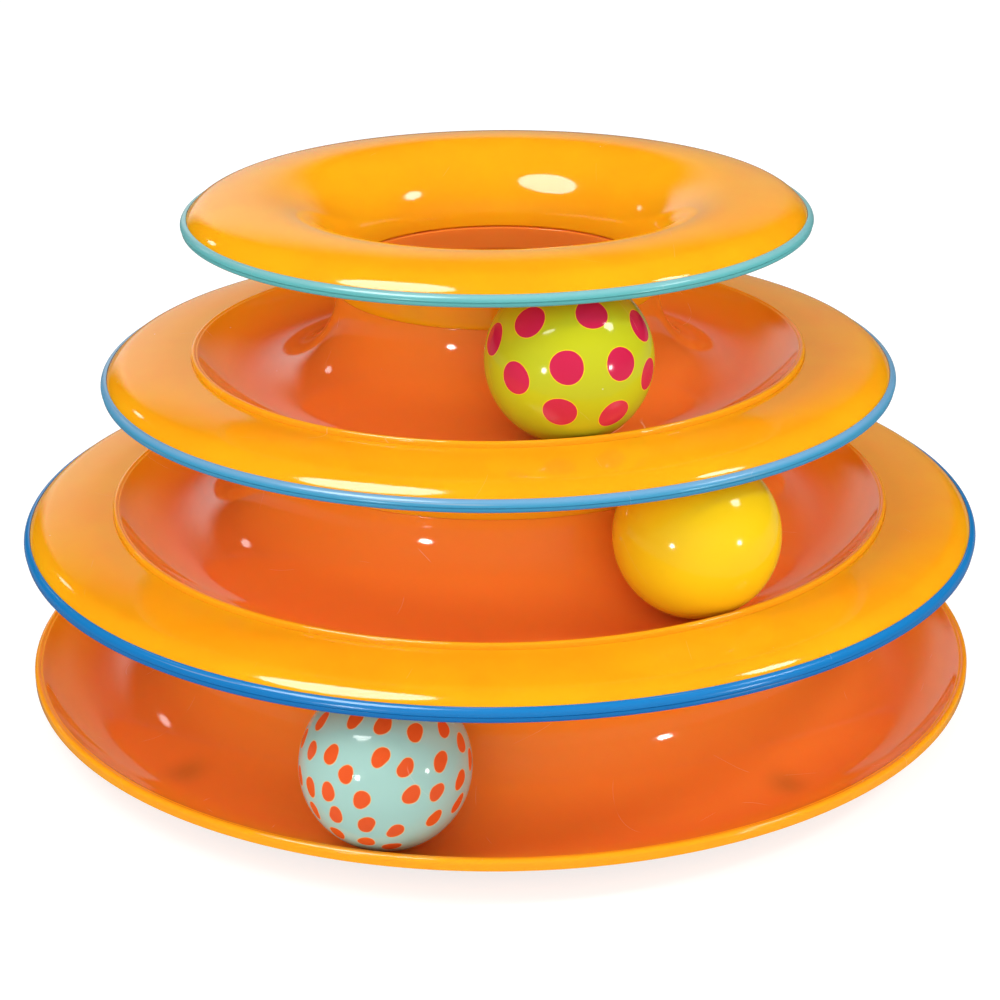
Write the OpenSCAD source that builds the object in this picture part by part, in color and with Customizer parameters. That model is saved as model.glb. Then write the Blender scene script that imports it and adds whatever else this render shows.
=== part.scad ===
// Cat ball track toy: a dish-shaped base track, two tiers and a top ring that stack
// on one axis, each with a captive ball running round its hub.
// Millimetres, +Z up, origin on the floor under the tower's axis, photographed side -Y.

/* [Tower] */
// Diameter over the base dish's lip
base_d = 250.4; // [244:0.2:262]
// Radial step from the base dish's lip in to the lower tier's edge band
lower_tier_step = 0.2; // [0:0.1:3]
// Radial step from one tier's edge band in to the next one's
tier_step = 22.5; // [20:0.5:24]
// How far the lower tier's track lies above the base's, over the ball's diameter
base_headroom = 2.6; // [1.5:0.1:8]
// How far one tier's track lies above the one below, over the ball's diameter
tier_headroom = 0.2; // [0:0.1:8]

/* [Balls] */
// Diameter of each ball
ball_d = 40; // [36:0.5:42]
// Wall of a ball's half shells
ball_wall = 1.6; // [1.2:0.1:2.4]
// Gap between a resting ball and the track's floor
floor_gap = 0.3; // [0.2:0.05:0.8]
// Gap between a resting ball and the hub
hub_gap = 0.5; // [0.3:0.05:1.5]
// Turn of the base track's ball about the axis, from the front
base_ball_angle = -14.4; // [-60:0.1:30]
// Turn of the lower tier's ball about the axis, from the front
lower_ball_angle = 33.3; // [10:0.1:60]
// Turn of the upper tier's ball about the axis, from the front
upper_ball_angle = 15.5; // [0:0.1:60]

/* [Tracks] */
// Wall of every moulding
wall = 1.8; // [1.4:0.1:2.4]
// Run of a tier's bowl, from the track's lowest line out to its lip
bowl_run = 15.8; // [14:0.1:18]
// Rise of a tier's bowl, from the track's lowest line up to its lip
bowl_rise = 6.8; // [5.8:0.1:7.4]
// Run of the base dish, from the track's lowest line out to its lip
dish_run = 16.3; // [14:0.1:20]
// Rise of the base dish, from the track's lowest line up to its lip
dish_rise = 7.1; // [6:0.1:10]
// Width of the base dish's rolled lip
dish_lip_w = 1.8; // [1.4:0.1:2.4]
// Height of the base dish's lip on its outer face
dish_lip_h = 2.8; // [2.2:0.1:4]

/* [Flanges] */
// Width of the flange and its lip, from the bowl to the edge band's outside
flange_w = 24.6; // [22:0.1:28]
// Width of the raised lip at the flange's inner edge
lip_w = 1.3; // [0.9:0.1:2]
// Height of the raised lip over the flange
lip_proud = 1.4; // [0.6:0.1:2]
// Width of the flange ring's seat on the ledge outside the lip
ledge_w = 5; // [3.5:0.1:7]
// Radial thickness of the edge bands
band_t = 1.6; // [1.2:0.1:2.2]
// Height of the lower tier's edge band
lower_band_h = 3.4; // [2.8:0.1:4]
// Height of the upper tier's edge band
upper_band_h = 2.9; // [2.4:0.1:3.6]
// Height of the top ring's edge band
top_band_h = 2.8; // [2.4:0.1:3.6]
// How far an edge band reaches below the track's lowest line
band_drop = 1.5; // [0.6:0.1:2]
// Radius of a flange's rounded edge, as a multiple of its drop from the level top to the edge band
edge_round = 2; // [1.2:0.1:2.2]

/* [Top ring] */
// Crest of the dome above the ring's reference plane
crest_rise = 6; // [5:0.1:8]
// Distance from the ring's outside in to the crest
crest_inset = 18.5; // [16:0.1:21]
// Radius that the throat gives up to the hub below it
throat_inset = 2.8; // [2.4:0.1:3.4]

/* [Push fit] */
// How far a collar hangs below its own track's lowest line
collar_drop = 18.5; // [17:0.1:19.6]
// Height of the spigot inside the collar
spigot_h = 4.3; // [3:0.1:6]
// Radial clearance between spigot and collar
fit_gap = 0.25; // [0.15:0.05:0.4]
// Number of key ribs round each spigot
key_count = 3; // [2:1:6]
// Width of a key rib
key_w = 5; // [3:0.5:8]

/* [Feet] */
// Diameter of a non-slip pad
pad_d = 10; // [8:0.5:14]
// Thickness of a non-slip pad
pad_h = 2; // [1.5:0.1:3]
// How far the moulded boss stands between the dish and the pad
boss_h = 1.4; // [0.8:0.1:3]
// Distance of the pads inside the track's lowest line
pad_inset = 3; // [0:0.5:5]
// Turn of the first pad about the axis, from the front
pad_angle = 41.7; // [0:0.1:89]

/* [Hidden] */
$fn = 128;
arc_steps = 14;
pad_count = 4;
cut = 1;

// Levels: the lowest line of each track, and the plane that the top ring counts from
base_z = pad_h + boss_h + wall;
lower_z = base_z + ball_d + base_headroom;
upper_z = lower_z + ball_d + tier_headroom;
top_z = upper_z + ball_d + tier_headroom;

// Radii of the edges, the tracks' lowest lines and the hubs
base_r = base_d / 2;
lower_r = base_r - lower_tier_step;
upper_r = lower_r - tier_step;
top_r = upper_r - tier_step;
base_track_r = base_r - dish_lip_w - dish_run;
lower_track_r = lower_r - flange_w - bowl_run;
upper_track_r = upper_r - flange_w - bowl_run;
hub_curve_r = ball_d / 2 + hub_gap;
base_hub_r = base_track_r - hub_curve_r;
lower_hub_r = lower_track_r - hub_curve_r;
upper_hub_r = upper_track_r - hub_curve_r;

// Flange ring, ledge and edge band
flange_t = wall;
flange_rise = bowl_rise - lip_proud;
ledge_rise = flange_rise - flange_t;
ledge_t = wall;
band_step = 0.2;
edge_slope = 54;
band_groove_share = 0.55;
band_strip_inset = 0.25;
band_hook_h = 0.6;
lip_round = lip_w / 2;

// Spigot, collar and key ribs
collar_t = wall;
spigot_t = 1.6;
spigot_root = 3;
spigot_top_gap = 0.35;
key_out = 1;
key_gap = 0.3;

// Ball shells: the two halves meet in a stepped joint
tongue_h = 1.2;
tongue_gap = 0.05;
base_ball_tilt = [62, 18, 0];
lower_ball_tilt = [40, -30, 0];
upper_ball_tilt = [75, 25, 0];

ORANGE = [0.96, 0.52, 0.09];
YELLOW_ORANGE = [0.98, 0.66, 0.09];
TEAL = [0.40, 0.76, 0.78];
SKY = [0.24, 0.60, 0.87];
BLUE = [0.02, 0.48, 0.80];
AQUA = [0.65, 0.85, 0.80];
YELLOW = [0.94, 0.80, 0.08];
LIME = [0.82, 0.84, 0.14];
GREY = [0.30, 0.28, 0.27];

// Points on an ellipse's arc, from angle a to angle b
function arc(c, rx, ry, a, b) =
    [for (i = [0:arc_steps])
        let (t = a + (b - a) * i / arc_steps)
        [c[0] + rx * cos(t), c[1] + ry * sin(t)]];

// The same points without the last one, and from the last to the first
function without_last(points) = [for (i = [0:len(points) - 2]) points[i]];
function reversed(points) = [for (i = [len(points) - 1:-1:0]) points[i]];

// Radius of a curve that leaves its lowest line level and gains rise over run
function sweep_r(run, rise) = (run * run + rise * rise) / (2 * rise);

// Run at which the underside of such a curve's wall has climbed rise over the lowest line
function sweep_run(r, t, rise) = sqrt((r + t) * (r + t) - (r - rise) * (r - rise));

// Cross-section of a channel's wall: out from the seam, under the ball, up to the lip
module channel(track_r, z, run, rise, seam_z) {
    r = sweep_r(run, rise);
    hub_r = track_r - hub_curve_r;
    lip_turn = asin(run / r);
    under_turn = asin(run / (r + wall));
    polygon(concat(
        [[hub_r, seam_z]],
        arc([track_r, z + hub_curve_r], hub_curve_r, hub_curve_r, 180, 270),
        arc([track_r, z + r], r, r, 270, 270 + lip_turn),
        arc([track_r, z + r], r + wall, r + wall, 270 + under_turn, 270),
        arc([track_r, z + hub_curve_r], hub_curve_r + wall, hub_curve_r + wall, 270, 180),
        [[hub_r - wall, seam_z]]));
}

// Cross-section of the spigot that stands on a hub, with a cone that carries it
module spigot(hub_r, seam_z) {
    out_r = hub_r - collar_t - fit_gap;
    in_r = out_r - spigot_t;
    polygon([
        [hub_r, seam_z],
        [out_r, seam_z],
        [out_r, seam_z + spigot_h],
        [in_r, seam_z + spigot_h],
        [in_r, seam_z - spigot_root / 2],
        [hub_r - wall, seam_z - spigot_root - spigot_t],
        [hub_r, seam_z - spigot_root - spigot_t]]);
}

// Cross-section of the collar that goes down over the hub below
module collar(outer_r, seam_z, top_z) {
    translate([outer_r - collar_t, seam_z]) square([collar_t, top_z - seam_z]);
}

// Ribs that stand out of a spigot; grown by a gap, they are the slots that take them
module keys(hub_r, seam_z, gap) {
    root_r = hub_r - collar_t - fit_gap - spigot_t / 2;
    for (i = [0:key_count - 1])
        rotate([0, 0, i * 360 / key_count])
            translate([root_r, -key_w / 2 - gap, seam_z - gap])
                cube([spigot_t / 2 + key_out + gap, key_w + 2 * gap, spigot_h + 2 * gap]);
}

// A hub and the key ribs on its spigot
module hub_with_keys(hub_r, seam_z) {
    keys(hub_r, seam_z, 0);
    children();
}

// A collar with slots cut into its inside for the ribs of the hub below
module cut_key_slots(hub_r, seam_z) {
    difference() {
        children();
        keys(hub_r, seam_z, key_gap);
    }
}

// Height of the middle of a bowl's wall at radius r
function bowl_mid_z(track_r, z, r) =
    let (q = sweep_r(bowl_run, bowl_rise) + wall / 2)
    z - wall / 2 + q - sqrt(q * q - (r - track_r) * (r - track_r));

// One tier's moulding: bowl, lip and ledge, hub with spigot, and the collar below
module tier_track(track_r, z, next_z, collar_r, collar_seam_z) {
    hub_r = track_r - hub_curve_r;
    seam_z = next_z - collar_drop;
    lip_r = track_r + bowl_run;
    lip_top_z = z + bowl_rise;
    ledge_foot_rise = ledge_rise - ledge_t;
    ledge_in_r = track_r + sweep_run(sweep_r(bowl_run, bowl_rise), wall, ledge_foot_rise);
    cut_key_slots(collar_r, collar_seam_z)
        hub_with_keys(hub_r, seam_z)
            rotate_extrude() {
                channel(track_r, z, bowl_run, bowl_rise, seam_z);
                spigot(hub_r, seam_z);
                collar(collar_r, collar_seam_z, bowl_mid_z(track_r, z, collar_r));
                translate([ledge_in_r, z + ledge_foot_rise])
                    square([lip_r + lip_w + ledge_w - ledge_in_r, ledge_t]);
                translate([lip_r, z + ledge_foot_rise])
                    square([lip_w, lip_top_z - lip_round - z - ledge_foot_rise]);
                translate([lip_r + lip_round, lip_top_z - lip_round]) circle(r = lip_round);
            }
}

// Radius of the crown that leaves its seat level and runs smoothly into a rounded edge, whose centre
// lies run out and drop down from the crown's start
function crown_r(run, drop, edge_r) = (run * run + drop * drop - edge_r * edge_r) / (2 * (drop - edge_r));

// Points out over a flange's crown and round its edge until that is as steep as edge_slope, inset below
// the surface
function shoulder(seat_r, out_r, top_z, edge_z, inset) =
    let (edge_r = edge_round * (top_z - edge_z))
    let (centre_r = out_r - edge_r * sin(edge_slope))
    let (centre_z = edge_z - edge_r * cos(edge_slope))
    let (r = crown_r(centre_r - seat_r, top_z - centre_z, edge_r))
    let (turn = asin((centre_r - seat_r) / (r - edge_r)))
    concat(
        without_last(arc([seat_r, top_z - r], r - inset, r - inset, 90, 90 - turn)),
        arc([centre_r, centre_z], edge_r - inset, edge_r - inset, 90 - turn, 90 - edge_slope));

// Points over a flange's top and down its skirt
function flange_top(seat_r, out_r, top_z, edge_z, foot_z) = concat(
    shoulder(seat_r, out_r, top_z, edge_z, 0),
    [[out_r, foot_z]]);

// Points back up inside the skirt and under the flange
function flange_under(seat_r, out_r, top_z, edge_z, foot_z) = concat(
    [[out_r - flange_t, foot_z]],
    reversed(shoulder(seat_r, out_r, top_z, edge_z, flange_t)));

// Flange ring of a tier, seated on the bowl's ledge against the lip
module flange_ring(rim_r, z, band_h) {
    in_r = rim_r - flange_w + lip_w;
    seat_r = in_r + ledge_w;
    out_r = rim_r - band_t;
    top_z = z + flange_rise;
    edge_z = z - band_drop + band_h - band_step;
    foot_z = z - band_drop + band_hook_h;
    rotate_extrude()
        polygon(concat(
            [[in_r, top_z]],
            flange_top(seat_r, out_r, top_z, edge_z, foot_z),
            flange_under(seat_r, out_r, top_z, edge_z, foot_z),
            [[in_r, top_z - flange_t]]));
}

// Edge band: a rounded bead over a narrower strip, hooked under the flange's skirt
module edge_band(rim_r, z, band_h) {
    foot_z = z - band_drop;
    strip_r = rim_r - band_strip_inset;
    groove_z = foot_z + (1 - band_groove_share) * band_h;
    rotate_extrude()
        polygon(concat(
            [[rim_r - band_t - flange_t, foot_z], [strip_r - band_strip_inset, foot_z],
             [strip_r, foot_z + band_strip_inset], [strip_r, groove_z]],
            arc([rim_r - band_t, groove_z], band_t, foot_z + band_h - groove_z, 0, 90),
            [[rim_r - band_t, foot_z + band_hook_h],
             [rim_r - band_t - flange_t, foot_z + band_hook_h]]));
}

// Place of the ball in a track: on its lowest line, turned about the axis
module at_ball(track_r, z, turn, tilt) {
    rotate([0, 0, turn])
        translate([0, -track_r, z + floor_gap + ball_d / 2])
            rotate(tilt) children();
}

// Half of a ball's shell below its weld, with the joint's tongue
module ball_half_a() {
    ball_r = ball_d / 2;
    tongue_r = ball_r - ball_wall / 2;
    difference() {
        sphere(r = ball_r);
        sphere(r = ball_r - ball_wall);
        difference() {
            translate([-ball_d, -ball_d, 0]) cube([2 * ball_d, 2 * ball_d, ball_d]);
            translate([0, 0, -cut]) cylinder(r = tongue_r - tongue_gap, h = tongue_h + cut);
        }
    }
}

// Half of a ball's shell above its weld, with the recess for the tongue
module ball_half_b() {
    ball_r = ball_d / 2;
    tongue_r = ball_r - ball_wall / 2;
    difference() {
        sphere(r = ball_r);
        sphere(r = ball_r - ball_wall);
        translate([-ball_d, -ball_d, -ball_d]) cube([2 * ball_d, 2 * ball_d, ball_d]);
        translate([0, 0, -cut]) cylinder(r = tongue_r, h = tongue_h + tongue_gap + cut);
    }
}

// Places of the pads, and of the bosses that carry them
module at_pad(i) {
    rotate([0, 0, pad_angle + i * 360 / pad_count])
        translate([0, pad_inset - base_track_r, 0]) children();
}

module base_track() {
    seam_z = lower_z - collar_drop;
    lip_r = base_track_r + dish_run;
    lip_z = base_z + dish_rise;
    lip_round = dish_lip_w / 2;
    color(ORANGE)
        union() {
            hub_with_keys(base_hub_r, seam_z)
                rotate_extrude() {
                    channel(base_track_r, base_z, dish_run, dish_rise, seam_z);
                    spigot(base_hub_r, seam_z);
                    translate([lip_r, lip_z - dish_lip_h])
                        square([dish_lip_w, dish_lip_h - lip_round]);
                    translate([lip_r + lip_round, lip_z - lip_round]) circle(r = lip_round);
                }
            for (i = [0:pad_count - 1])
                at_pad(i) translate([0, 0, pad_h]) cylinder(d = pad_d, h = boss_h + wall / 2);
        }
}

module foot_pad(i) {
    color(GREY) at_pad(i) cylinder(d = pad_d, h = pad_h);
}

module base_ball(half) {
    color(AQUA) at_ball(base_track_r, base_z, base_ball_angle, base_ball_tilt) ball_half(half);
}

module lower_ball(half) {
    color(YELLOW) at_ball(lower_track_r, lower_z, lower_ball_angle, lower_ball_tilt) ball_half(half);
}

module upper_ball(half) {
    color(LIME) at_ball(upper_track_r, upper_z, upper_ball_angle, upper_ball_tilt) ball_half(half);
}

module ball_half(half) {
    if (half == "a") ball_half_a();
    else ball_half_b();
}

module lower_track() {
    color(ORANGE)
        tier_track(lower_track_r, lower_z, upper_z, base_hub_r, lower_z - collar_drop);
}

module lower_flange_ring() {
    color(YELLOW_ORANGE) flange_ring(lower_r, lower_z, lower_band_h);
}

module lower_edge_band() {
    color(BLUE) edge_band(lower_r, lower_z, lower_band_h);
}

module upper_track() {
    color(ORANGE)
        tier_track(upper_track_r, upper_z, top_z, lower_hub_r, upper_z - collar_drop);
}

module upper_flange_ring() {
    color(YELLOW_ORANGE) flange_ring(upper_r, upper_z, upper_band_h);
}

module upper_edge_band() {
    color(SKY) edge_band(upper_r, upper_z, upper_band_h);
}

module top_edge_band() {
    color(TEAL) edge_band(top_r, top_z, top_band_h);
}

// Top ring: a domed shell whose throat runs down into the collar over the last hub
module top_ring() {
    out_r = top_r - band_t;
    crest_r = top_r - crest_inset;
    crest_z = top_z + crest_rise;
    edge_z = top_z - band_drop + top_band_h - band_step;
    foot_z = top_z - band_drop + band_hook_h;
    seam_z = top_z - collar_drop;
    throat_r = upper_hub_r - throat_inset;
    throat_z = seam_z + spigot_h + spigot_top_gap;
    throat_run = crest_r - throat_r;
    throat_rise = crest_z - throat_z;
    collar_turn = 180 - acos((crest_r - upper_hub_r) / (throat_run - wall));
    color(YELLOW_ORANGE)
        cut_key_slots(upper_hub_r, seam_z)
            rotate_extrude()
                polygon(concat(
                    arc([crest_r, throat_z], throat_run, throat_rise, 180, 90),
                    flange_top(crest_r, out_r, crest_z, edge_z, foot_z),
                    flange_under(crest_r, out_r, crest_z, edge_z, foot_z),
                    arc([crest_r, throat_z], throat_run - wall, throat_rise - wall, 90, collar_turn),
                    [[upper_hub_r, seam_z], [upper_hub_r - collar_t, seam_z],
                     [upper_hub_r - collar_t, throat_z]]));
}

base_track();
foot_pad(0);  // foot_pad_1
foot_pad(1);  // foot_pad_2
foot_pad(2);  // foot_pad_3
foot_pad(3);  // foot_pad_4
base_ball("a");  // base_ball_half_a
base_ball("b");  // base_ball_half_b
lower_track();
lower_flange_ring();
lower_edge_band();
lower_ball("a");  // lower_ball_half_a
lower_ball("b");  // lower_ball_half_b
upper_track();
upper_flange_ring();
upper_edge_band();
upper_ball("a");  // upper_ball_half_a
upper_ball("b");  // upper_ball_half_b
top_ring();
top_edge_band();
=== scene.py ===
"""Looks of the cat ball track toy: a dish base and two flanged tiers, each with a ball, and a domed top ring.

Metres, +Z up, the tower's axis on Z, the photographed side at -Y. Every moulding is an outline turned
about the axis, and every size comes from the frame's boxes or from the named values below.
"""
from collections import namedtuple
from math import acos, asin, cos, degrees, pi, radians, sin, sqrt

import bpy
import numpy as np
from mathutils import Matrix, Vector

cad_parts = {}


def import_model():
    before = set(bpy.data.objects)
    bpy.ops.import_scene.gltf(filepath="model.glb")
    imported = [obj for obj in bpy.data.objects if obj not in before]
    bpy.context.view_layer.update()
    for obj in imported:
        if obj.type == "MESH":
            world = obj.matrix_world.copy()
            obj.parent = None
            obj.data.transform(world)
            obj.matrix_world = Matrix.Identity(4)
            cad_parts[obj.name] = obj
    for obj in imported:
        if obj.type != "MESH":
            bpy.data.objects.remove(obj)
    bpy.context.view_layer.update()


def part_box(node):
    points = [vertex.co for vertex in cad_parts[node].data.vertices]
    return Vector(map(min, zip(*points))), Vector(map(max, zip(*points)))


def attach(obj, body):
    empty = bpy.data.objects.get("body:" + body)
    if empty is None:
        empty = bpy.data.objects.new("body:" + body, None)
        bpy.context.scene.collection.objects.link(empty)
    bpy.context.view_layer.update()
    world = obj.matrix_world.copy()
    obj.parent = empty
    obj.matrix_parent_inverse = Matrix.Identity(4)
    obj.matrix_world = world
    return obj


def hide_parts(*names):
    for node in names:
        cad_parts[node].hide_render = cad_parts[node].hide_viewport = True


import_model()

MM = 0.001

# Camera: a pinhole looking along +Y, and the picture's crop
IMAGE_PX = 1000.0
FOCAL_PX = 2300.0
SENSOR_MM = 36.0
CAMERA_AT = (0.0, -571.6 * MM, 275.1 * MM)
CAMERA_PITCH = 22.2
CAMERA_ROLL = -0.52
CROP_RIGHT = 0.0004
CROP_UP = 0.026

# Moulding sizes that the frame's boxes don't give
WALL = 1.8 * MM
BOWL_RUN = 15.8 * MM
BOWL_RISE = 6.8 * MM
DISH_RUN = 16.3 * MM
DISH_RISE = 7.1 * MM
DISH_LIP_W = 1.8 * MM
DISH_LIP_H = 2.8 * MM
FLANGE_W = 24.6 * MM
LIP_W = 1.3 * MM
LIP_PROUD = 1.4 * MM
LIP_START = 150
DISH_LIP_START = 140
LEDGE_W = 5.0 * MM
BAND_T = 1.6 * MM
BAND_DROP = 1.5 * MM
BAND_STEP = 0.2 * MM
BAND_HOOK = 0.6 * MM
STRIP_INSET = 0.25 * MM
BEAD_SHARE = 0.55
NOTCH_W = 0.3 * MM
NOTCH_DEPTH = 0.2 * MM
EDGE_ROUND = 2.0
EDGE_SLOPE = 54
HUB_CURVE = 20.5 * MM
CREST_INSET = 18.5 * MM
THROAT_INSET = 2.8 * MM
FIT_GAP = 0.25 * MM
SPIGOT_T = 1.6 * MM
SPIGOT_H = 4.3 * MM
SPIGOT_ROOT = 3.0 * MM
SPIGOT_TOP_GAP = 0.35 * MM
KEY_COUNT = 3
KEY_W = 5.0 * MM
KEY_OUT = 1.0 * MM
KEY_GAP = 0.3 * MM
KEY_BLEND = 0.15 * MM
BOSS_H = 1.4 * MM
PADS = range(1, 5)
BALL_WALL = 1.6 * MM
TONGUE_H = 1.2 * MM
TONGUE_GAP = 0.05 * MM
WELD_BEVEL = 0.05 * MM

# Rounding of the mouldings' edges, and the spacing of points along and round their outlines
EDGE = 0.13 * MM
BAND_EDGE = 0.07 * MM
SAMPLES_PER_EDGE = 3
FINE_TURN = radians(9)
LONG_RUN = 1.6 * MM
SIDES = 288
BOSS_SIDES = 96
PAD_SIDES = 72
BALL_SIDES = 240


def reach(node):
    """Outer radius of a node that is turned about the axis."""
    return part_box(node)[1].x


def low(node):
    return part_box(node)[0].z


def high(node):
    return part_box(node)[1].z


# Levels and radii: rim over the edge, track at the channel's lowest line, hub beside the ball
Level = namedtuple("Level", "z rim_r track_r hub_r seam_z")


def tier_level(band, next_node):
    """Level of a tier between its edge band and the next piece, at whose foot its hub ends."""
    rim_r = reach(band)
    track_r = rim_r - FLANGE_W - BOWL_RUN
    return Level(low(band) + BAND_DROP, rim_r, track_r, track_r - HUB_CURVE, low(next_node))


BASE_TRACK_R = reach("base_track") - DISH_LIP_W - DISH_RUN
BASE = Level(low("base_track") + BOSS_H + WALL, reach("base_track"), BASE_TRACK_R,
             BASE_TRACK_R - HUB_CURVE, low("lower_track"))
LOWER = tier_level("lower_edge_band", "upper_track")
UPPER = tier_level("upper_edge_band", "top_ring")


# Outlines

def arc(centre, radius, start, stop, count=48):
    """Points on a circle, or on an ellipse where radius is a pair, at even steps in degrees."""
    turn = np.radians(np.linspace(start, stop, count))
    wide, tall = np.broadcast_to(radius, 2)
    return np.stack([centre[0] + wide * np.cos(turn), centre[1] + tall * np.sin(turn)], 1)


def sweep_radius(run, rise):
    """Radius of the arc that leaves its lowest line level and gains rise over run."""
    return (run * run + rise * rise) / (2 * rise)


def length_along(line):
    """Length of a line up to each of its points."""
    return np.concatenate([[0], np.cumsum(np.linalg.norm(np.diff(line, axis=0), axis=1))])


def points_at(line, along, wanted):
    """Points of a line where the measure along it has the wanted values."""
    return np.stack([np.interp(wanted, along, column) for column in line.T], 1)


def soften(points, edge=EDGE):
    """Closed outline, counterclockwise, with rounded corners: sampled evenly, blurred along its length by a
    bell curve as wide as edge, and sampled again by turning and length."""
    ring = np.vstack([points, points[:1]])
    x, y = ring.T
    if np.sum(x[:-1] * y[1:] - x[1:] * y[:-1]) < 0:
        ring = ring[::-1]
    along = length_along(ring)
    count = int(along[-1] / (edge / SAMPLES_PER_EDGE))
    line = points_at(ring, along, np.linspace(0, along[-1], count, endpoint=False))
    waves = np.fft.rfftfreq(count, d=along[-1] / count)
    bell = np.exp(-2 * (pi * waves * edge) ** 2)
    line = np.fft.irfft(np.fft.rfft(line, axis=0) * bell[:, None], count, axis=0)
    step = np.roll(line, -1, 0) - line
    heading = np.arctan2(step[:, 1], step[:, 0])
    turning = np.abs((np.roll(heading, -1) - heading + pi) % (2 * pi) - pi)
    cost = np.cumsum(turning / FINE_TURN + np.linalg.norm(step, axis=1) / LONG_RUN)
    return points_at(line, cost, np.linspace(0, cost[-1], int(cost[-1]), endpoint=False))


def channel_top(track_r, z, run, rise, seam_z):
    """Ball side of a channel: down the hub, round a quarter circle beside the ball, out to the lip."""
    sweep = sweep_radius(run, rise)
    return np.vstack([[[track_r - HUB_CURVE, seam_z]],
                      arc((track_r, z + HUB_CURVE), HUB_CURVE, 180, 270),
                      arc((track_r, z + sweep), sweep, 270, 270 + degrees(asin(run / sweep)))])


def under_angle(sweep, run):
    """Angle on the underside's arc, in degrees, at which it lies run outside the lowest line."""
    return 270 + degrees(asin(run / (sweep + WALL)))


def hub_inside(track_r, z, seam_z):
    """Inner side of a hub from the channel's underside up, and round its spigot to the seam."""
    hub_r = track_r - HUB_CURVE
    out_r = hub_r - WALL - FIT_GAP
    in_r = out_r - SPIGOT_T
    return np.vstack([arc((track_r, z + HUB_CURVE), HUB_CURVE + WALL, 270, 180),
                      [[hub_r - WALL, seam_z - SPIGOT_ROOT - SPIGOT_T],
                       [in_r, seam_z - SPIGOT_ROOT / 2],
                       [in_r, seam_z + SPIGOT_H],
                       [out_r, seam_z + SPIGOT_H],
                       [out_r, seam_z]]])


def base_outline(level):
    """Base dish: channel, rolled lip, underside and hub."""
    sweep = sweep_radius(DISH_RUN, DISH_RISE)
    lip_r = level.track_r + DISH_RUN
    lip_z = level.z + DISH_RISE
    half = DISH_LIP_W / 2
    return np.vstack([
        channel_top(level.track_r, level.z, DISH_RUN, DISH_RISE, level.seam_z)[:-1],
        arc((lip_r + half, lip_z - half), half, DISH_LIP_START, 0),
        [[level.rim_r, lip_z - DISH_LIP_H], [lip_r, lip_z - DISH_LIP_H]],
        arc((level.track_r, level.z + sweep), sweep + WALL, under_angle(sweep, DISH_RUN), 270),
        hub_inside(level.track_r, level.z, level.seam_z)])


def tier_outline(level, collar_r, collar_z):
    """Tier moulding: channel, raised lip, ledge for the flange ring, collar over the hub below, and hub."""
    sweep = sweep_radius(BOWL_RUN, BOWL_RISE)
    lip_r = level.track_r + BOWL_RUN
    half = LIP_W / 2
    ledge_z = level.z + BOWL_RISE - LIP_PROUD - WALL
    foot_rise = ledge_z - WALL - level.z
    ledge_run = sqrt((sweep + WALL) ** 2 - (sweep - foot_rise) ** 2)
    centre = (level.track_r, level.z + sweep)
    ledge_angle = under_angle(sweep, ledge_run)
    return np.vstack([
        channel_top(level.track_r, level.z, BOWL_RUN, BOWL_RISE, level.seam_z)[:-1],
        arc((lip_r + half, level.z + BOWL_RISE - half), half, LIP_START, 0),
        [[lip_r + LIP_W, ledge_z], [lip_r + LIP_W + LEDGE_W, ledge_z],
         [lip_r + LIP_W + LEDGE_W, ledge_z - WALL]],
        arc(centre, sweep + WALL, ledge_angle, under_angle(sweep, collar_r - level.track_r)),
        [[collar_r, collar_z], [collar_r - WALL, collar_z]],
        arc(centre, sweep + WALL, under_angle(sweep, collar_r - WALL - level.track_r), 270, count=4),
        hub_inside(level.track_r, level.z, level.seam_z)])


def shoulder(seat_r, out_r, top_z, edge_z, inset=0.0):
    """A flange's top, or a line inset below it: a crown, level at the seat, and the arc of the edge, as far
    as EDGE_SLOPE. The crown's radius follows from the two arcs touching."""
    edge_r = EDGE_ROUND * (top_z - edge_z)
    steep = radians(EDGE_SLOPE)
    centre = (out_r - edge_r * sin(steep), edge_z - edge_r * cos(steep))
    run, drop = centre[0] - seat_r, top_z - centre[1]
    crown_r = (run ** 2 + drop ** 2 - edge_r ** 2) / (2 * (drop - edge_r))
    turn = degrees(asin(run / (crown_r - edge_r)))
    return np.vstack([arc((seat_r, top_z - crown_r), crown_r - inset, 90, 90 - turn)[:-1],
                      arc(centre, edge_r - inset, 90 - turn, 90 - EDGE_SLOPE)])


def flange_outline(level, band):
    """Flange ring: level seat beside the lip, rounded shoulder, short skirt inside the edge band."""
    in_r = level.rim_r - FLANGE_W + LIP_W
    seat_r = in_r + LEDGE_W
    out_r = level.rim_r - BAND_T
    top_z = level.z + BOWL_RISE - LIP_PROUD
    edge_z = high(band) - BAND_STEP
    foot_z = low(band) + BAND_HOOK
    return np.vstack([
        [[in_r, top_z - WALL], [in_r, top_z]],
        shoulder(seat_r, out_r, top_z, edge_z),
        [[out_r, foot_z], [out_r - WALL, foot_z]],
        shoulder(seat_r, out_r, top_z, edge_z, WALL)[::-1]])


def band_outline(band):
    """Edge band: a rounded bead over a narrower strip, a notch between them, and a hook under the skirt."""
    rim_r, foot_z, top_z = reach(band), low(band), high(band)
    strip_r = rim_r - STRIP_INSET
    groove_z = foot_z + (1 - BEAD_SHARE) * (top_z - foot_z)
    return np.vstack([
        [[rim_r - BAND_T - WALL, foot_z], [strip_r - STRIP_INSET, foot_z],
         [strip_r, foot_z + STRIP_INSET], [strip_r, groove_z - NOTCH_W],
         [strip_r - NOTCH_DEPTH, groove_z - NOTCH_W / 2], [strip_r, groove_z]],
        arc((rim_r - BAND_T, groove_z), (BAND_T, top_z - groove_z), 0, 90),
        [[rim_r - BAND_T, foot_z + BAND_HOOK], [rim_r - BAND_T - WALL, foot_z + BAND_HOOK]]])


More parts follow.
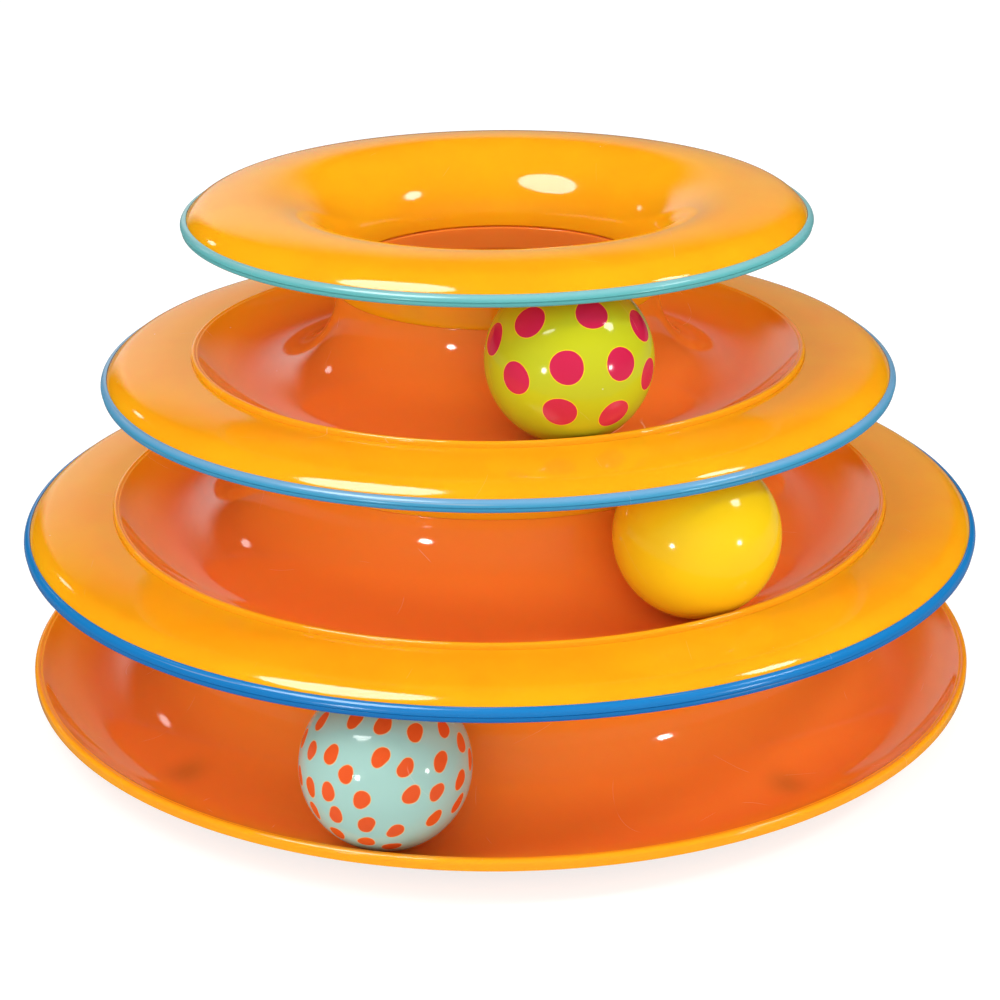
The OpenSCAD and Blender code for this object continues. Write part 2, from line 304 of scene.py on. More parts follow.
def top_outline(hub_r):
    """Top ring: from its skirt over the crest, down the throat and into the collar over the last hub."""
    rim_r = reach("top_edge_band")
    out_r = rim_r - BAND_T
    crest_r = rim_r - CREST_INSET
    crest_z = high("top_ring")
    edge_z = high("top_edge_band") - BAND_STEP
    foot_z = low("top_edge_band") + BAND_HOOK
    seam_z = low("top_ring")
    throat_r = hub_r - THROAT_INSET
    throat_z = seam_z + SPIGOT_H + SPIGOT_TOP_GAP
    run, rise = crest_r - throat_r, crest_z - throat_z
    collar_turn = 180 - degrees(acos((crest_r - hub_r) / (run - WALL)))
    return np.vstack([
        arc((crest_r, throat_z), (run, rise), 180, 90),
        shoulder(crest_r, out_r, crest_z, edge_z),
        [[out_r, foot_z], [out_r - WALL, foot_z]],
        shoulder(crest_r, out_r, crest_z, edge_z, WALL)[::-1],
        arc((crest_r, throat_z), (run - WALL, rise - WALL), 90, collar_turn),
        [[hub_r, seam_z], [hub_r - WALL, seam_z], [hub_r - WALL, throat_z]]])


# Meshes

def even_line(points, spacing):
    """Points at equal steps of about spacing along an open line."""
    along = length_along(points)
    return points_at(points, along, np.linspace(0, along[-1], int(along[-1] / spacing) + 2))


def grid_quads(rows, columns, close_columns=True):
    """Quads of a grid of points. Its rows run round and join; its columns join where asked."""
    a = np.arange(rows)[:, None]
    b = np.arange(columns if close_columns else columns - 1)[None, :]
    a_next, b_next = (a + 1) % rows, (b + 1) % columns
    corners = (a * columns + b, a_next * columns + b, a_next * columns + b_next, a * columns + b_next)
    return np.stack([np.broadcast_to(c, (a.size, b.size)).ravel() for c in corners], 1)


def turned(outline, angles):
    """Outline (radius, height) turned about Z, counted from the front, as angles by points by 3."""
    radius = np.broadcast_to(outline[..., 0], (len(angles), outline.shape[-2]))
    height = np.broadcast_to(outline[..., 1], radius.shape)
    turn = angles[:, None]
    return np.stack([radius * np.sin(turn), -radius * np.cos(turn), height], -1)


def turned_solid(line, count):
    """Points and faces of a line turned from pole to pole, with a fan at each pole."""
    angles = np.linspace(0, 2 * pi, count, endpoint=False)
    rows = len(line) - 2
    poles = [[0, 0, line[0, 1]], [0, 0, line[-1, 1]]]
    points = np.vstack([turned(line[1:-1], angles).reshape(-1, 3), poles])
    here = np.arange(count) * rows
    there = np.roll(here, -1)
    first, last = np.full(count, count * rows), np.full(count, count * rows + 1)
    return points, [grid_quads(count, rows, close_columns=False), np.stack([first, there, here], 1),
                    np.stack([here + rows - 1, there + rows - 1, last], 1)]


def joined(*shapes):
    """Points and faces of several shapes as one."""
    starts = np.concatenate([[0], np.cumsum([len(points) for points, faces in shapes])])
    return (np.vstack([points for points, faces in shapes]),
            [part + start for (points, faces), start in zip(shapes, starts) for part in faces])


def new_object(name, data):
    made = bpy.data.objects.new(name, data)
    bpy.context.scene.collection.objects.link(made)
    return made


def mesh_object(name, points, faces, **values):
    """A smooth mesh of points and arrays with one face to a row; values become attributes."""
    corners = np.concatenate([part.ravel() for part in faces]).astype(np.int32)
    sizes = np.concatenate([np.full(len(part), part.shape[1]) for part in faces])
    mesh = bpy.data.meshes.new(name)
    mesh.vertices.add(len(points))
    mesh.vertices.foreach_set("co", np.ascontiguousarray(points, np.float32).ravel())
    mesh.loops.add(len(corners))
    mesh.loops.foreach_set("vertex_index", corners)
    mesh.polygons.add(len(sizes))
    mesh.polygons.foreach_set("loop_start", (np.cumsum(sizes) - sizes).astype(np.int32))
    mesh.polygons.foreach_set("use_smooth", np.ones(len(sizes), bool))
    for key, value in values.items():
        made_attribute = mesh.attributes.new(key, "FLOAT", "POINT")
        made_attribute.data.foreach_set("value", np.ascontiguousarray(value, np.float32))
    mesh.update(calc_edges=True)
    mesh.validate()
    return new_object(name, mesh)


def piece(made, body, slot, material, *nodes):
    """Puts a finished piece on its body, in place of its CAD nodes, with its finish."""
    made.data.materials.append(material)
    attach(made, body)
    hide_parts(*nodes)


# Key ribs on the spigots, and the slots in the collars that go over them

Keys = namedtuple("Keys", "hub_r seam_z kind")
KEY_STEP = 2 * pi / KEY_COUNT
FIRST_KEY = pi / 2
# Skin under the hub's outside that keys leave alone, and how far below the seam they begin
KEY_SKIN = 3 * EDGE
RIB_START = 2 * EDGE


def key_half(kind):
    """Half the width of a rib, or of a slot."""
    return KEY_W / 2 + (KEY_GAP if kind == "slot" else 0)


def key_cover(angles, key):
    """1 across each rib or slot, 0 elsewhere, with a short slope between them."""
    off = np.abs((angles - FIRST_KEY + KEY_STEP / 2) % KEY_STEP - KEY_STEP / 2)
    return np.clip((key_half(key.kind) - off * (key.hub_r - WALL)) / KEY_BLEND + 0.5, 0, 1)


def key_columns(keys):
    """Angles of the turned outline: even steps, and a pair at each side of each rib and slot."""
    columns = [np.linspace(0, 2 * pi, SIDES, endpoint=False)]
    middles = FIRST_KEY + np.arange(KEY_COUNT) * KEY_STEP
    for key in keys:
        half = key_half(key.kind) / (key.hub_r - WALL)
        blend = KEY_BLEND / 2 / (key.hub_r - WALL)
        edges = np.array([-half - blend, -half + blend, half - blend, half + blend])
        columns.append(((middles[:, None] + edges) % (2 * pi)).ravel())
    return np.unique(np.concatenate(columns))


def with_keys(outline, angles, keys):
    """The outline at each angle, moved out at the ribs from the spigot's middle and at the slots from the
    collar's inner face, with the radii outside it squeezed together."""
    shaped = np.repeat(outline[None], len(angles), 0)
    radius, height = outline.T
    for key in keys:
        outside = key.hub_r - KEY_SKIN
        if key.kind == "rib":
            face = key.hub_r - WALL - FIT_GAP
            root = face - SPIGOT_T / 2
            moved = np.interp(radius, [root, face, outside], [root, face + KEY_OUT, outside])
            near = (radius > root) & (radius < outside) & (height > key.seam_z - RIB_START)
        else:
            face = key.hub_r - WALL
            moved = np.interp(radius, [face, outside], [face + KEY_OUT + KEY_GAP - FIT_GAP, outside])
            near = (radius > face - EDGE) & (radius < outside) & (height < key.seam_z + SPIGOT_H + KEY_GAP)
        shaped[:, :, 0] += key_cover(angles, key)[:, None] * np.where(near, moved - radius, 0)
    return shaped


def ring_shape(outline, keys=()):
    """Points, faces and angles of a closed outline turned once round, joined to itself both ways."""
    angles = key_columns(keys)
    points = turned(with_keys(outline, angles, keys), angles)
    return points.reshape(-1, 3), [grid_quads(len(angles), len(outline))], angles


# How far inside the lip the channel's painted shade is full, and how close to its ball side a point has it
LIP_FADE = 15.0 * MM
LIP_REACH = 0.3 * MM


def channel_tone(outline, line, lip_r):
    """Painted channel shade at outline points: 0 off the channel's ball side and on the lip, up to 1 by
    LIP_FADE inside the lip.
    """
    away = np.linalg.norm(outline[:, None] - even_line(line, LIP_REACH)[None], axis=2).min(1)
    near = np.clip(2 - away / LIP_REACH, 0, 1)
    return near * np.clip((lip_r - outline[:, 0]) / LIP_FADE, 0, 1)


# Shader helpers

def add(tree, kind, inputs=(), **settings):
    """One node, with its settings, and its inputs set to values or linked to sockets."""
    made = tree.nodes.new(kind)
    for key, value in settings.items():
        setattr(made, key, value)
    for key, value in dict(inputs).items():
        if isinstance(value, bpy.types.NodeSocket):
            tree.links.new(value, made.inputs[key])
        else:
            made.inputs[key].default_value = value
    return made


def calc(tree, operation, *values):
    """Result of one Math node."""
    return add(tree, "ShaderNodeMath", enumerate(values), operation=operation).outputs[0]


def ramp(tree, value, low_in, high_in, low_out=0.0, high_out=1.0):
    """Value moved smoothly from one range to another."""
    made = add(tree, "ShaderNodeMapRange",
               {"Value": value, "From Min": low_in, "From Max": high_in,
                "To Min": low_out, "To Max": high_out},
               interpolation_type="SMOOTHSTEP")
    return made.outputs["Result"]


def blend_colour(tree, share, first, second):
    made = add(tree, "ShaderNodeMix", {0: share, 6: first, 7: second}, data_type="RGBA")
    return made.outputs[2]


def noise(tree, place, scale, detail=2.0):
    made = add(tree, "ShaderNodeTexNoise", {"Vector": place, "Scale": scale, "Detail": detail})
    return made.outputs["Fac"]


def parts(tree, place):
    return add(tree, "ShaderNodeSeparateXYZ", {0: place}).outputs


def attribute(tree, name):
    return add(tree, "ShaderNodeAttribute", attribute_name=name).outputs["Fac"]


def object_place(tree):
    return add(tree, "ShaderNodeTexCoord").outputs["Object"]


def srgb(red, green, blue):
    """Colour written in 0 to 255 steps of sRGB, as the linear colour that a shader takes."""
    def linear(step):
        share = step / 255
        return share / 12.92 if share <= 0.04045 else ((share + 0.055) / 1.055) ** 2.4
    return (linear(red), linear(green), linear(blue), 1.0)


def new_material(name):
    made = bpy.data.materials.new(name)
    made.use_nodes = True
    made.node_tree.nodes.clear()
    return made, made.node_tree


def finish_surface(tree, **inputs):
    """Principled shader to the material's output."""
    shader = add(tree, "ShaderNodeBsdfPrincipled", {k.replace("_", " "): v for k, v in inputs.items()})
    add(tree, "ShaderNodeOutputMaterial", {"Surface": shader.outputs[0]})


def new_group(name, *given):
    """Node group that takes a place and gives floats; returns it and the place."""
    group = bpy.data.node_groups.new(name, "ShaderNodeTree")
    group.interface.new_socket("Place", in_out="INPUT", socket_type="NodeSocketVector")
    for key in given:
        group.interface.new_socket(key, in_out="OUTPUT", socket_type="NodeSocketFloat")
    return group, add(group, "NodeGroupInput").outputs["Place"]


# Shared effects. Scales count waves per metre; a pair is where a pattern begins and where it is full

FLOW_SCALE, FLOW_DETAIL = 34.0, 3.0
RIPPLE_SCALE, RIPPLE_DETAIL = 70.0, 1.0
GRAIN_SCALE, GRAIN_SHARE = 1800.0, 0.03
HAIR_SCALE, HAIR_LINE = 21.0, (0.0007, 0.0001)
HAIR_RUN_SCALE, HAIR_RUNS = 130.0, (0.6, 0.68)
DULL_SCALE, DULL_DETAIL, DULL_SPOTS = 26.0, 4.0, (0.52, 0.72)
RINGS_ALONG, RINGS_ACROSS, RINGS_UP, RINGS_SHOWN = 2.2, 1500.0, 900.0, (0.62, 0.74)
SPECK_SCALE, SPECK_DISC, SPECK_KEPT = 210.0, (0.055, 0.03), (0.93, 0.95)


def moulded_skin():
    """Group: the skin of moulded plastic: slow unevenness from the melt's flow, and a ripple with grain."""
    group, place = new_group("moulded_skin", "Flow", "Height")
    flow = noise(group, place, FLOW_SCALE, FLOW_DETAIL)
    grain = noise(group, place, GRAIN_SCALE)
    ripple = noise(group, place, RIPPLE_SCALE, RIPPLE_DETAIL)
    height = calc(group, "ADD", ripple, calc(group, "MULTIPLY", grain, GRAIN_SHARE))
    add(group, "NodeGroupOutput", {"Flow": flow, "Height": height})
    return group


def handling_marks():
    """Group: hair-fine scratches, where a slow noise passes its middle value, cut to short runs by a second
    noise; and dulled spots."""
    group, place = new_group("handling_marks", "Scratch", "Dull")
    line = noise(group, place, HAIR_SCALE, 0.0)
    hair = ramp(group, calc(group, "ABSOLUTE", calc(group, "SUBTRACT", line, 0.5)), *HAIR_LINE)
    runs = ramp(group, noise(group, place, HAIR_RUN_SCALE, 0.0), *HAIR_RUNS)
    dull = ramp(group, noise(group, place, DULL_SCALE, DULL_DETAIL), *DULL_SPOTS)
    add(group, "NodeGroupOutput", {"Scratch": calc(group, "MULTIPLY", hair, runs), "Dull": dull})
    return group


def rolling_marks():
    """Group: fine broken rings about the tower's axis, left by the rolling balls: noise, dense over radius
    and height, and slow over the direction (x, y) / radius."""
    group, place = new_group("rolling_marks", "Ring")
    part = parts(group, place)
    radius = calc(group, "SQRT", calc(group, "ADD", calc(group, "MULTIPLY", part["X"], part["X"]),
                                      calc(group, "MULTIPLY", part["Y"], part["Y"])))
    along_x, along_y = (calc(group, "MULTIPLY", calc(group, "DIVIDE", part[axis], radius), RINGS_ALONG)
                        for axis in "XY")
    across = calc(group, "MULTIPLY", radius, RINGS_ACROSS)
    spot = add(group, "ShaderNodeCombineXYZ", {0: along_x, 1: along_y, 2: across}).outputs[0]
    upward = calc(group, "MULTIPLY", part["Z"], RINGS_UP)
    rings = add(group, "ShaderNodeTexNoise", {"Vector": spot, "W": upward, "Scale": 1.0, "Detail": 1.0},
                noise_dimensions="4D").outputs["Fac"]
    add(group, "NodeGroupOutput", {"Ring": ramp(group, rings, *RINGS_SHOWN)})
    return group


def dust_specks():
    """Group: sparse specks of lint, small discs at a part of the cells' centres."""
    group, place = new_group("dust_specks", "Speck")
    cells = add(group, "ShaderNodeTexVoronoi", {"Vector": place, "Scale": SPECK_SCALE}).outputs
    disc = ramp(group, cells["Distance"], *SPECK_DISC)
    kept = ramp(group, add(group, "ShaderNodeSeparateColor", {0: cells["Color"]}).outputs[0], *SPECK_KEPT)
    add(group, "NodeGroupOutput", {"Speck": calc(group, "MULTIPLY", disc, kept)})
    return group


SKIN = moulded_skin()
MARKS = handling_marks()
RINGS = rolling_marks()
SPECKS = dust_specks()


def effect(tree, group, place):
    """Outputs of a shared effect at a place."""
    return add(tree, "ShaderNodeGroup", {"Place": place}, node_tree=group).outputs


# Materials

SCUFF = srgb(255, 226, 190)
LINT = srgb(236, 230, 222)
WELL_WORN = 1.0
HARDLY_WORN = 0.5
# Roughness of each plastic, and what the marks add: a share of their colour, roughness, and height in mm
MOULDING_GLOSS, BAND_GLOSS, BALL_GLOSS = 0.07, 0.20, 0.10
FLOW_ROUGH, DULL_ROUGH = 0.04, 0.035
SCRATCH_TINT, SCRATCH_ROUGH, SCRATCH_HEIGHT = 0.3, 0.25, -0.004
RING_ROUGH, RING_HEIGHT = 0.05, -0.0006
SPECK_TINT, SPECK_ROUGH, SPECK_HEIGHT = 0.45, 0.4, 0.02
RIPPLE_HEIGHT, BALL_RIPPLE_HEIGHT = 0.03, 0.02


def plastic_finish(tree, place, colour, gloss, worn, ripple=RIPPLE_HEIGHT, raised=None, **fixed):
    """Moulded plastic over a colour: skin and marks move its roughness and height; fixed inputs stay."""
    skin = effect(tree, SKIN, place)
    marks = effect(tree, MARKS, place)
    speck = effect(tree, SPECKS, place)["Speck"]
    ring = effect(tree, RINGS, place)["Ring"]
    scratch = calc(tree, "MULTIPLY", marks["Scratch"], worn)
    colour = blend_colour(tree, calc(tree, "MULTIPLY", scratch, SCRATCH_TINT), colour, SCUFF)
    colour = blend_colour(tree, calc(tree, "MULTIPLY", speck, SPECK_TINT), colour, LINT)
    rough = calc(tree, "MULTIPLY_ADD", calc(tree, "SUBTRACT", skin["Flow"], 0.5), FLOW_ROUGH, gloss)
    for mark, added in ((marks["Dull"], DULL_ROUGH * worn), (scratch, SCRATCH_ROUGH),
                        (ring, RING_ROUGH * worn), (speck, SPECK_ROUGH)):
        rough = calc(tree, "MULTIPLY_ADD", mark, added, rough)
    height = calc(tree, "MULTIPLY", skin["Height"], ripple)
    for mark, added in ((scratch, SCRATCH_HEIGHT), (ring, RING_HEIGHT * worn), (speck, SPECK_HEIGHT)):
        height = calc(tree, "MULTIPLY_ADD", mark, added, height)
    if raised is not None:
        height = calc(tree, "ADD", raised, height)
    bump = add(tree, "ShaderNodeBump", {"Height": height, "Distance": MM, "Strength": 1.0})
    finish_surface(tree, Base_Color=colour, Roughness=rough, Normal=bump.outputs[0], **fixed)


# Values of the flow between which a tone moves, and how far it moves in each material
FLOW_SPREAD = (0.35, 0.65)
TRACK_SHIFT, FLANGE_SHIFT, BALL_SHIFT, DOT_SHIFT = 0.12, 1.0, 0.6, 0.7


def shift_tone(tree, place, colour, other, most):
    """Colour moved towards another one by up to most, as the melt's flow goes."""
    flow = effect(tree, SKIN, place)["Flow"]
    return blend_colour(tree, ramp(tree, flow, *FLOW_SPREAD, 0.0, most), colour, other)


# Light that passes through the mouldings, deepest for red, and through the balls
THROUGH = {"Subsurface_Weight": 0.35, "Subsurface_Radius": (6.0, 2.0, 0.6), "Subsurface_Scale": MM}
BALL_THROUGH = {"Subsurface_Weight": 0.15, "Subsurface_Radius": (2.0, 2.0, 1.0), "Subsurface_Scale": MM}


def track_plastic():
    """Orange plastic: yellow-orange at the lips and outside; deep orange down in the channels and inside the
    hubs, which is painted shade; brownish painted shade where a pad sits close below."""
    material, tree = new_material("orange_track_plastic")
    place = object_place(tree)
    # Painted shade: the colour deepens to orange down the channels and inside the hubs, for their shade and
    # the light that bounces in them
    colour = blend_colour(tree, attribute(tree, "tone"), srgb(252, 164, 24), srgb(255, 127, 52))
    colour = shift_tone(tree, place, colour, srgb(255, 138, 48), TRACK_SHIFT)
    colour = blend_colour(tree, attribute(tree, "pad_shade"), colour, srgb(164, 90, 38))
    plastic_finish(tree, place, colour, MOULDING_GLOSS, WELL_WORN, **THROUGH)
    return material


def flange_plastic():
    """Yellow-orange plastic, barely uneven in tone."""
    material, tree = new_material("yellow_orange_plastic")
    place = object_place(tree)
    colour = shift_tone(tree, place, srgb(253, 170, 20), srgb(253, 163, 19), FLANGE_SHIFT)
    # Yellow-orange plastic, barely uneven in colour.
    plastic_finish(tree, place, colour, MOULDING_GLOSS, HARDLY_WORN, **THROUGH)
    return material


# Heights in an edge band, as shares of its height: where its colours blend, with painted light at the top
# and painted shade at the foot, and its notch, whose dark line is painted shade
BAND_MIDDLE = (0.0, 0.35)
BAND_TOP = (0.55, 0.95)
BAND_NOTCH = 1 - BEAD_SHARE - 0.05
BAND_NOTCH_SPREAD = (0.07, 0.01)
BAND_NOTCH_SHADE = 0.3
BAND_STREAK_TINT = 0.18


def band_plastic(name, band, foot, middle, top):
    """Softer plastic of an edge band: palest at the top, painted light where the bead faces up, deepest in
    the middle, duller at the foot, which is painted shade, with a faint dark notch under the bead, painted
    shade in its crease, and fine streaks along it."""
    material, tree = new_material(name)
    place = object_place(tree)
    height = parts(tree, place)["Z"]
    level = calc(tree, "DIVIDE", calc(tree, "SUBTRACT", height, low(band)), high(band) - low(band))
    # Painted light and shade: the colour pales up the bead and goes duller towards the foot
    colour = blend_colour(tree, ramp(tree, level, *BAND_MIDDLE), foot, middle)
    colour = blend_colour(tree, ramp(tree, level, *BAND_TOP), colour, top)
    ring = effect(tree, RINGS, place)["Ring"]
    colour = blend_colour(tree, calc(tree, "MULTIPLY", ring, BAND_STREAK_TINT), colour, SCUFF)
    # Painted shade in the notch under the bead
    off = calc(tree, "ABSOLUTE", calc(tree, "SUBTRACT", level, BAND_NOTCH))
    colour = blend_colour(tree, ramp(tree, off, *BAND_NOTCH_SPREAD, 0.0, BAND_NOTCH_SHADE), colour, foot)
    plastic_finish(tree, place, colour, BAND_GLOSS, HARDLY_WORN)
    return material


def pad_rubber():
    """Dark grey-brown rubber: matt, clouded, with a fine cast grain and a dusty sole."""
    cloud_scale, cloud_spread = 260.0, (0.4, 0.62)
    grain_scale, grain_height, detail = 2600.0, 0.05 * MM, 3.0
    dust_height, dust_share = 0.35 * MM, 0.35
    roughness, clouded_roughness = 0.52, 0.2
    material, tree = new_material("pad_rubber_cast")
    place = object_place(tree)
    cloud = noise(tree, place, cloud_scale, detail)
    grain = noise(tree, place, grain_scale, detail)
    colour = blend_colour(tree, ramp(tree, cloud, *cloud_spread), srgb(74, 66, 61), srgb(92, 84, 77))
    height = parts(tree, place)["Z"]
    dust = ramp(tree, height, dust_height, 0.0, 0.0, dust_share)
    colour = blend_colour(tree, dust, colour, srgb(150, 143, 134))
    rough = calc(tree, "MULTIPLY_ADD", cloud, clouded_roughness, roughness)
    bump = add(tree, "ShaderNodeBump", {"Height": grain, "Distance": grain_height, "Strength": 1.0})
    finish_surface(tree, Base_Color=colour, Roughness=rough, Normal=bump.outputs[0])
    return material


# Print: a dot's fringe, its edges' softness and wander, its darker parts' share, and its height in mm
FRINGE_W = 0.17 * MM
PRINT_BLUR = 0.05 * MM
PRINT_WANDER = 0.12 * MM
PRINT_WANDER_SCALE = 900.0
PRINT_SHADED = 0.85
PRINT_HEIGHT = 0.008


def ball_plastic(name, ground, shaded, dot=None, fringe=None):
    """Glossy ball between two close colours. Its dots lie where dot_edge is above 0, each in a narrow ring
    of the fringe colour, and stand a hair proud."""
    material, tree = new_material(name)
    place = object_place(tree)
    colour = shift_tone(tree, place, ground, shaded, BALL_SHIFT)
    printed = None
    if dot:
        edge = attribute(tree, "dot_edge")
        wander = noise(tree, place, PRINT_WANDER_SCALE)
        wander = calc(tree, "MULTIPLY_ADD", wander, PRINT_WANDER, -PRINT_WANDER / 2)
        edge = calc(tree, "ADD", edge, wander)
        in_fringe = ramp(tree, edge, -FRINGE_W - PRINT_BLUR, -FRINGE_W + PRINT_BLUR)
        colour = blend_colour(tree, in_fringe, colour, fringe)
        inside = ramp(tree, edge, -PRINT_BLUR, PRINT_BLUR)
        darker = tuple(PRINT_SHADED * share for share in dot[:3]) + (1.0,)
        colour = blend_colour(tree, inside, colour, shift_tone(tree, place, dot, darker, DOT_SHIFT))
        printed = calc(tree, "MULTIPLY", inside, PRINT_HEIGHT)
    plastic_finish(tree, place, colour, BALL_GLOSS, HARDLY_WORN, BALL_RIPPLE_HEIGHT, printed, **BALL_THROUGH)
    return material


TRACK_ORANGE = track_plastic()
FLANGE_ORANGE = flange_plastic()
# Band colours at the foot, the middle and the top: the duller foot is painted shade, the paler top painted
# light
BAND_BLUE = band_plastic("blue_band_plastic", "lower_edge_band",
                         srgb(8, 90, 160), srgb(4, 112, 178), srgb(22, 122, 188))
BAND_SKY = band_plastic("sky_band_plastic", "upper_edge_band",
                        srgb(54, 120, 166), srgb(56, 146, 184), srgb(110, 162, 198))
BAND_TEAL = band_plastic("teal_band_plastic", "top_edge_band",
                         srgb(80, 152, 156), srgb(90, 172, 173), srgb(126, 184, 187))
PAD_RUBBER = pad_rubber()
BALL_AQUA = ball_plastic("aqua_ball_plastic", srgb(161, 198, 188), srgb(155, 193, 183),
                         srgb(230, 88, 36), srgb(222, 186, 128))
BALL_YELLOW = ball_plastic("yellow_ball_plastic", srgb(240, 201, 24), srgb(240, 194, 18))
BALL_LIME = ball_plastic("lime_ball_plastic", srgb(187, 194, 34), srgb(194, 192, 27),
                         srgb(210, 36, 78), srgb(240, 206, 30))


# The turned pieces

def pad_disc(radius, foot_z, top_z):
    """Line of a pad from pole to pole: a shallow recess in the sole, a rounded foot and a top edge."""
    foot_round, top_round, recess = 0.5 * MM, 0.25 * MM, 0.3 * MM
    flat_r, slope_r, sole_r = 0.52 * radius, 0.6 * radius, 0.66 * radius
    return np.vstack([[[0, foot_z + recess], [flat_r, foot_z + recess], [slope_r, foot_z + recess / 3],
                       [sole_r, foot_z]],
                      arc((radius - foot_round, foot_z + foot_round), foot_round, -90, 0, count=8),
                      arc((radius - top_round, top_z - top_round), top_round, 0, 90, count=6),
                      [[0, top_z]]])


def pad_place(index):
    """Centre of a pad, its radius, foot and top from the frame."""
    lowest, highest = (np.array(tuple(corner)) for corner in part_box(f"foot_pad_{index}"))
    middle = (lowest + highest) / 2
    return middle[:2], (highest - lowest)[0] / 2, lowest[2], highest[2]


def dish_underside(radius):
    """Height of the middle of the dish's wall at a radius inside the track's lowest line."""
    middle = HUB_CURVE + WALL / 2
    return BASE.z + HUB_CURVE - np.sqrt(middle ** 2 - (radius - BASE.track_r) ** 2)


BOSS_TOP = 2.3 * MM


def boss(index):
    """Boss: a short column that spreads into the dish's wall, whose middle its top follows."""
    inset, spread, spread_h, spread_z = 0.2 * MM, 0.8 * MM, 1.0 * MM, 1.1 * MM
    centre, radius, _, foot_z = pad_place(index)
    line = np.vstack([[[0, foot_z], [radius - inset, foot_z]],
                      arc((radius + spread, foot_z + spread_z), (spread, spread_h), 190, 110, count=8),
                      [[0, foot_z + BOSS_TOP]]])
    points, faces = turned_solid(line, BOSS_SIDES)
    points[:, :2] += centre
    rise = np.clip((points[:, 2] - foot_z) / BOSS_TOP, 0, 1)
    points[:, 2] += rise * (dish_underside(np.linalg.norm(points[:, :2], axis=1)) - foot_z - BOSS_TOP)
    return points, faces


# How much the painted channel shade fades up the hub, its level inside it, and the painted shade over a pad
HUB_FADE = 0.35
INSIDE_SHADE = 0.9
PAD_SHADE = 0.4
PAD_SHADE_R = 4.6 * MM


def track_piece(name, body, level, outline, run, rise, keys, node, bosses=()):
    """A track moulding with its painted channel shade, and the brownish painted shade over each pad."""
    outline = soften(outline)
    line = channel_top(level.track_r, level.z, run, rise, level.seam_z)
    points, faces, angles = ring_shape(outline, keys)
    # Painted shade: full down the channel, less up the hub's outside, and high inside the hub
    hub_share = np.clip((outline[:, 1] - level.z) / HUB_CURVE, 0, 1)
    tone = channel_tone(outline, line, level.track_r + run) * (1 - HUB_FADE * hub_share)
    tone = np.maximum(tone, INSIDE_SHADE * hub_share * (outline[:, 0] < level.hub_r - WALL / 2))
    shape = joined((points, faces), *bosses)
    tones = np.concatenate([np.tile(tone, len(angles)), np.zeros(len(shape[0]) - len(points))])
    shade = np.zeros(len(shape[0]))
    if bosses:
        spots = np.array([pad_place(index)[0] for index in PADS])
        away = np.linalg.norm(shape[0][:, None, :2] - spots, axis=2).min(1)
        shade = tones * PAD_SHADE * np.exp(-(away / PAD_SHADE_R) ** 2)
    made = mesh_object(name, *shape, tone=tones, pad_shade=shade)
    piece(made, body, "track_orange", TRACK_ORANGE, node)


def ring_piece(name, body, slot, material, node, outline, edge=EDGE, keys=()):
    """A turned piece of one finish."""
    points, faces, _ = ring_shape(soften(outline, edge), keys)
    piece(mesh_object(name, points, faces), body, slot, material, node)


track_piece("base_moulding", "base", BASE, base_outline(BASE), DISH_RUN, DISH_RISE,
            [Keys(BASE.hub_r, BASE.seam_z, "rib")], "base_track",
            [boss(index) for index in PADS])
for tier, level, below in (("lower", LOWER, BASE), ("upper", UPPER, LOWER)):
    outline = tier_outline(level, below.hub_r, below.seam_z)
    keys = [Keys(level.hub_r, level.seam_z, "rib"), Keys(below.hub_r, below.seam_z, "slot")]
    track_piece(f"{tier}_moulding", f"{tier}_tier", level, outline, BOWL_RUN, BOWL_RISE, keys,
                f"{tier}_track")
for tier, level in (("lower", LOWER), ("upper", UPPER)):
    ring_piece(f"{tier}_flange", f"{tier}_tier", "flange_orange", FLANGE_ORANGE, f"{tier}_flange_ring",
               flange_outline(level, f"{tier}_edge_band"))
ring_piece("top_dome", "top", "flange_orange", FLANGE_ORANGE, "top_ring", top_outline(UPPER.hub_r),
           keys=[Keys(UPPER.hub_r, UPPER.seam_z, "slot")])
for tier, body, slot, material in (("lower", "lower_tier", "band_blue", BAND_BLUE),
                                   ("upper", "upper_tier", "band_sky", BAND_SKY),
                                   ("top", "top", "band_teal", BAND_TEAL)):
    band = f"{tier}_edge_band"
    ring_piece(f"{tier}_trim", body, slot, material, band, band_outline(band), BAND_EDGE)

for index in PADS:
    centre, radius, foot_z, top_z = pad_place(index)
    points, faces = turned_solid(pad_disc(radius, foot_z, top_z), PAD_SIDES)
    points[:, :2] += centre
    piece(mesh_object(f"pad_{index}", points, faces), "base", "pad_rubber", PAD_RUBBER, f"foot_pad_{index}")


# Balls

# Middles of the dots that face the camera: how far right and up of the ball's middle, in mm
LIME_DOTS = ((-9.2, 8.3), (5, 10.2), (16.2, 7.8), (-17.5, 4.4), (-12.2, -4.6), (-0.5, -2.1), (11.9, -1.1),
             (18.4, -3.4), (-2, -12.3), (10.5, -12.6))
AQUA_DOTS = ((-14.2, 10), (-6.6, 10), (-0.4, 8.6), (6.7, 6.8), (13.2, 7.5), (17.2, 4.3), (-18.4, 6.4),
             (-16.5, 3.5), (-12.1, 2.4), (-1.1, 1.5), (4.4, -1), (12.3, 0.2), (19.3, 0.6), (-19.4, -2.2),
             (-17, -4.7), (-13, -5.9), (-8.9, -2.1), (-5.5, -7.8), (5.6, -7), (11.3, -6.6), (16.8, -4),
             (16.1, -9.4), (-16.2, -10), (-11.4, -11.1), (-4.6, -13.4), (1.9, -15), (10.6, -12.5),
             (-11.2, -15.3), (-4.7, -17.3), (0.9, -18.6))
# How flat a flat dot is, the angle past which none reaches, and the least share that faces the camera
FLAT_SHARE = 0.4
FLAT_REACH = 1.2
LEAST_FACING = 0.0004
GOLDEN_TURN = pi * (3 - sqrt(5))
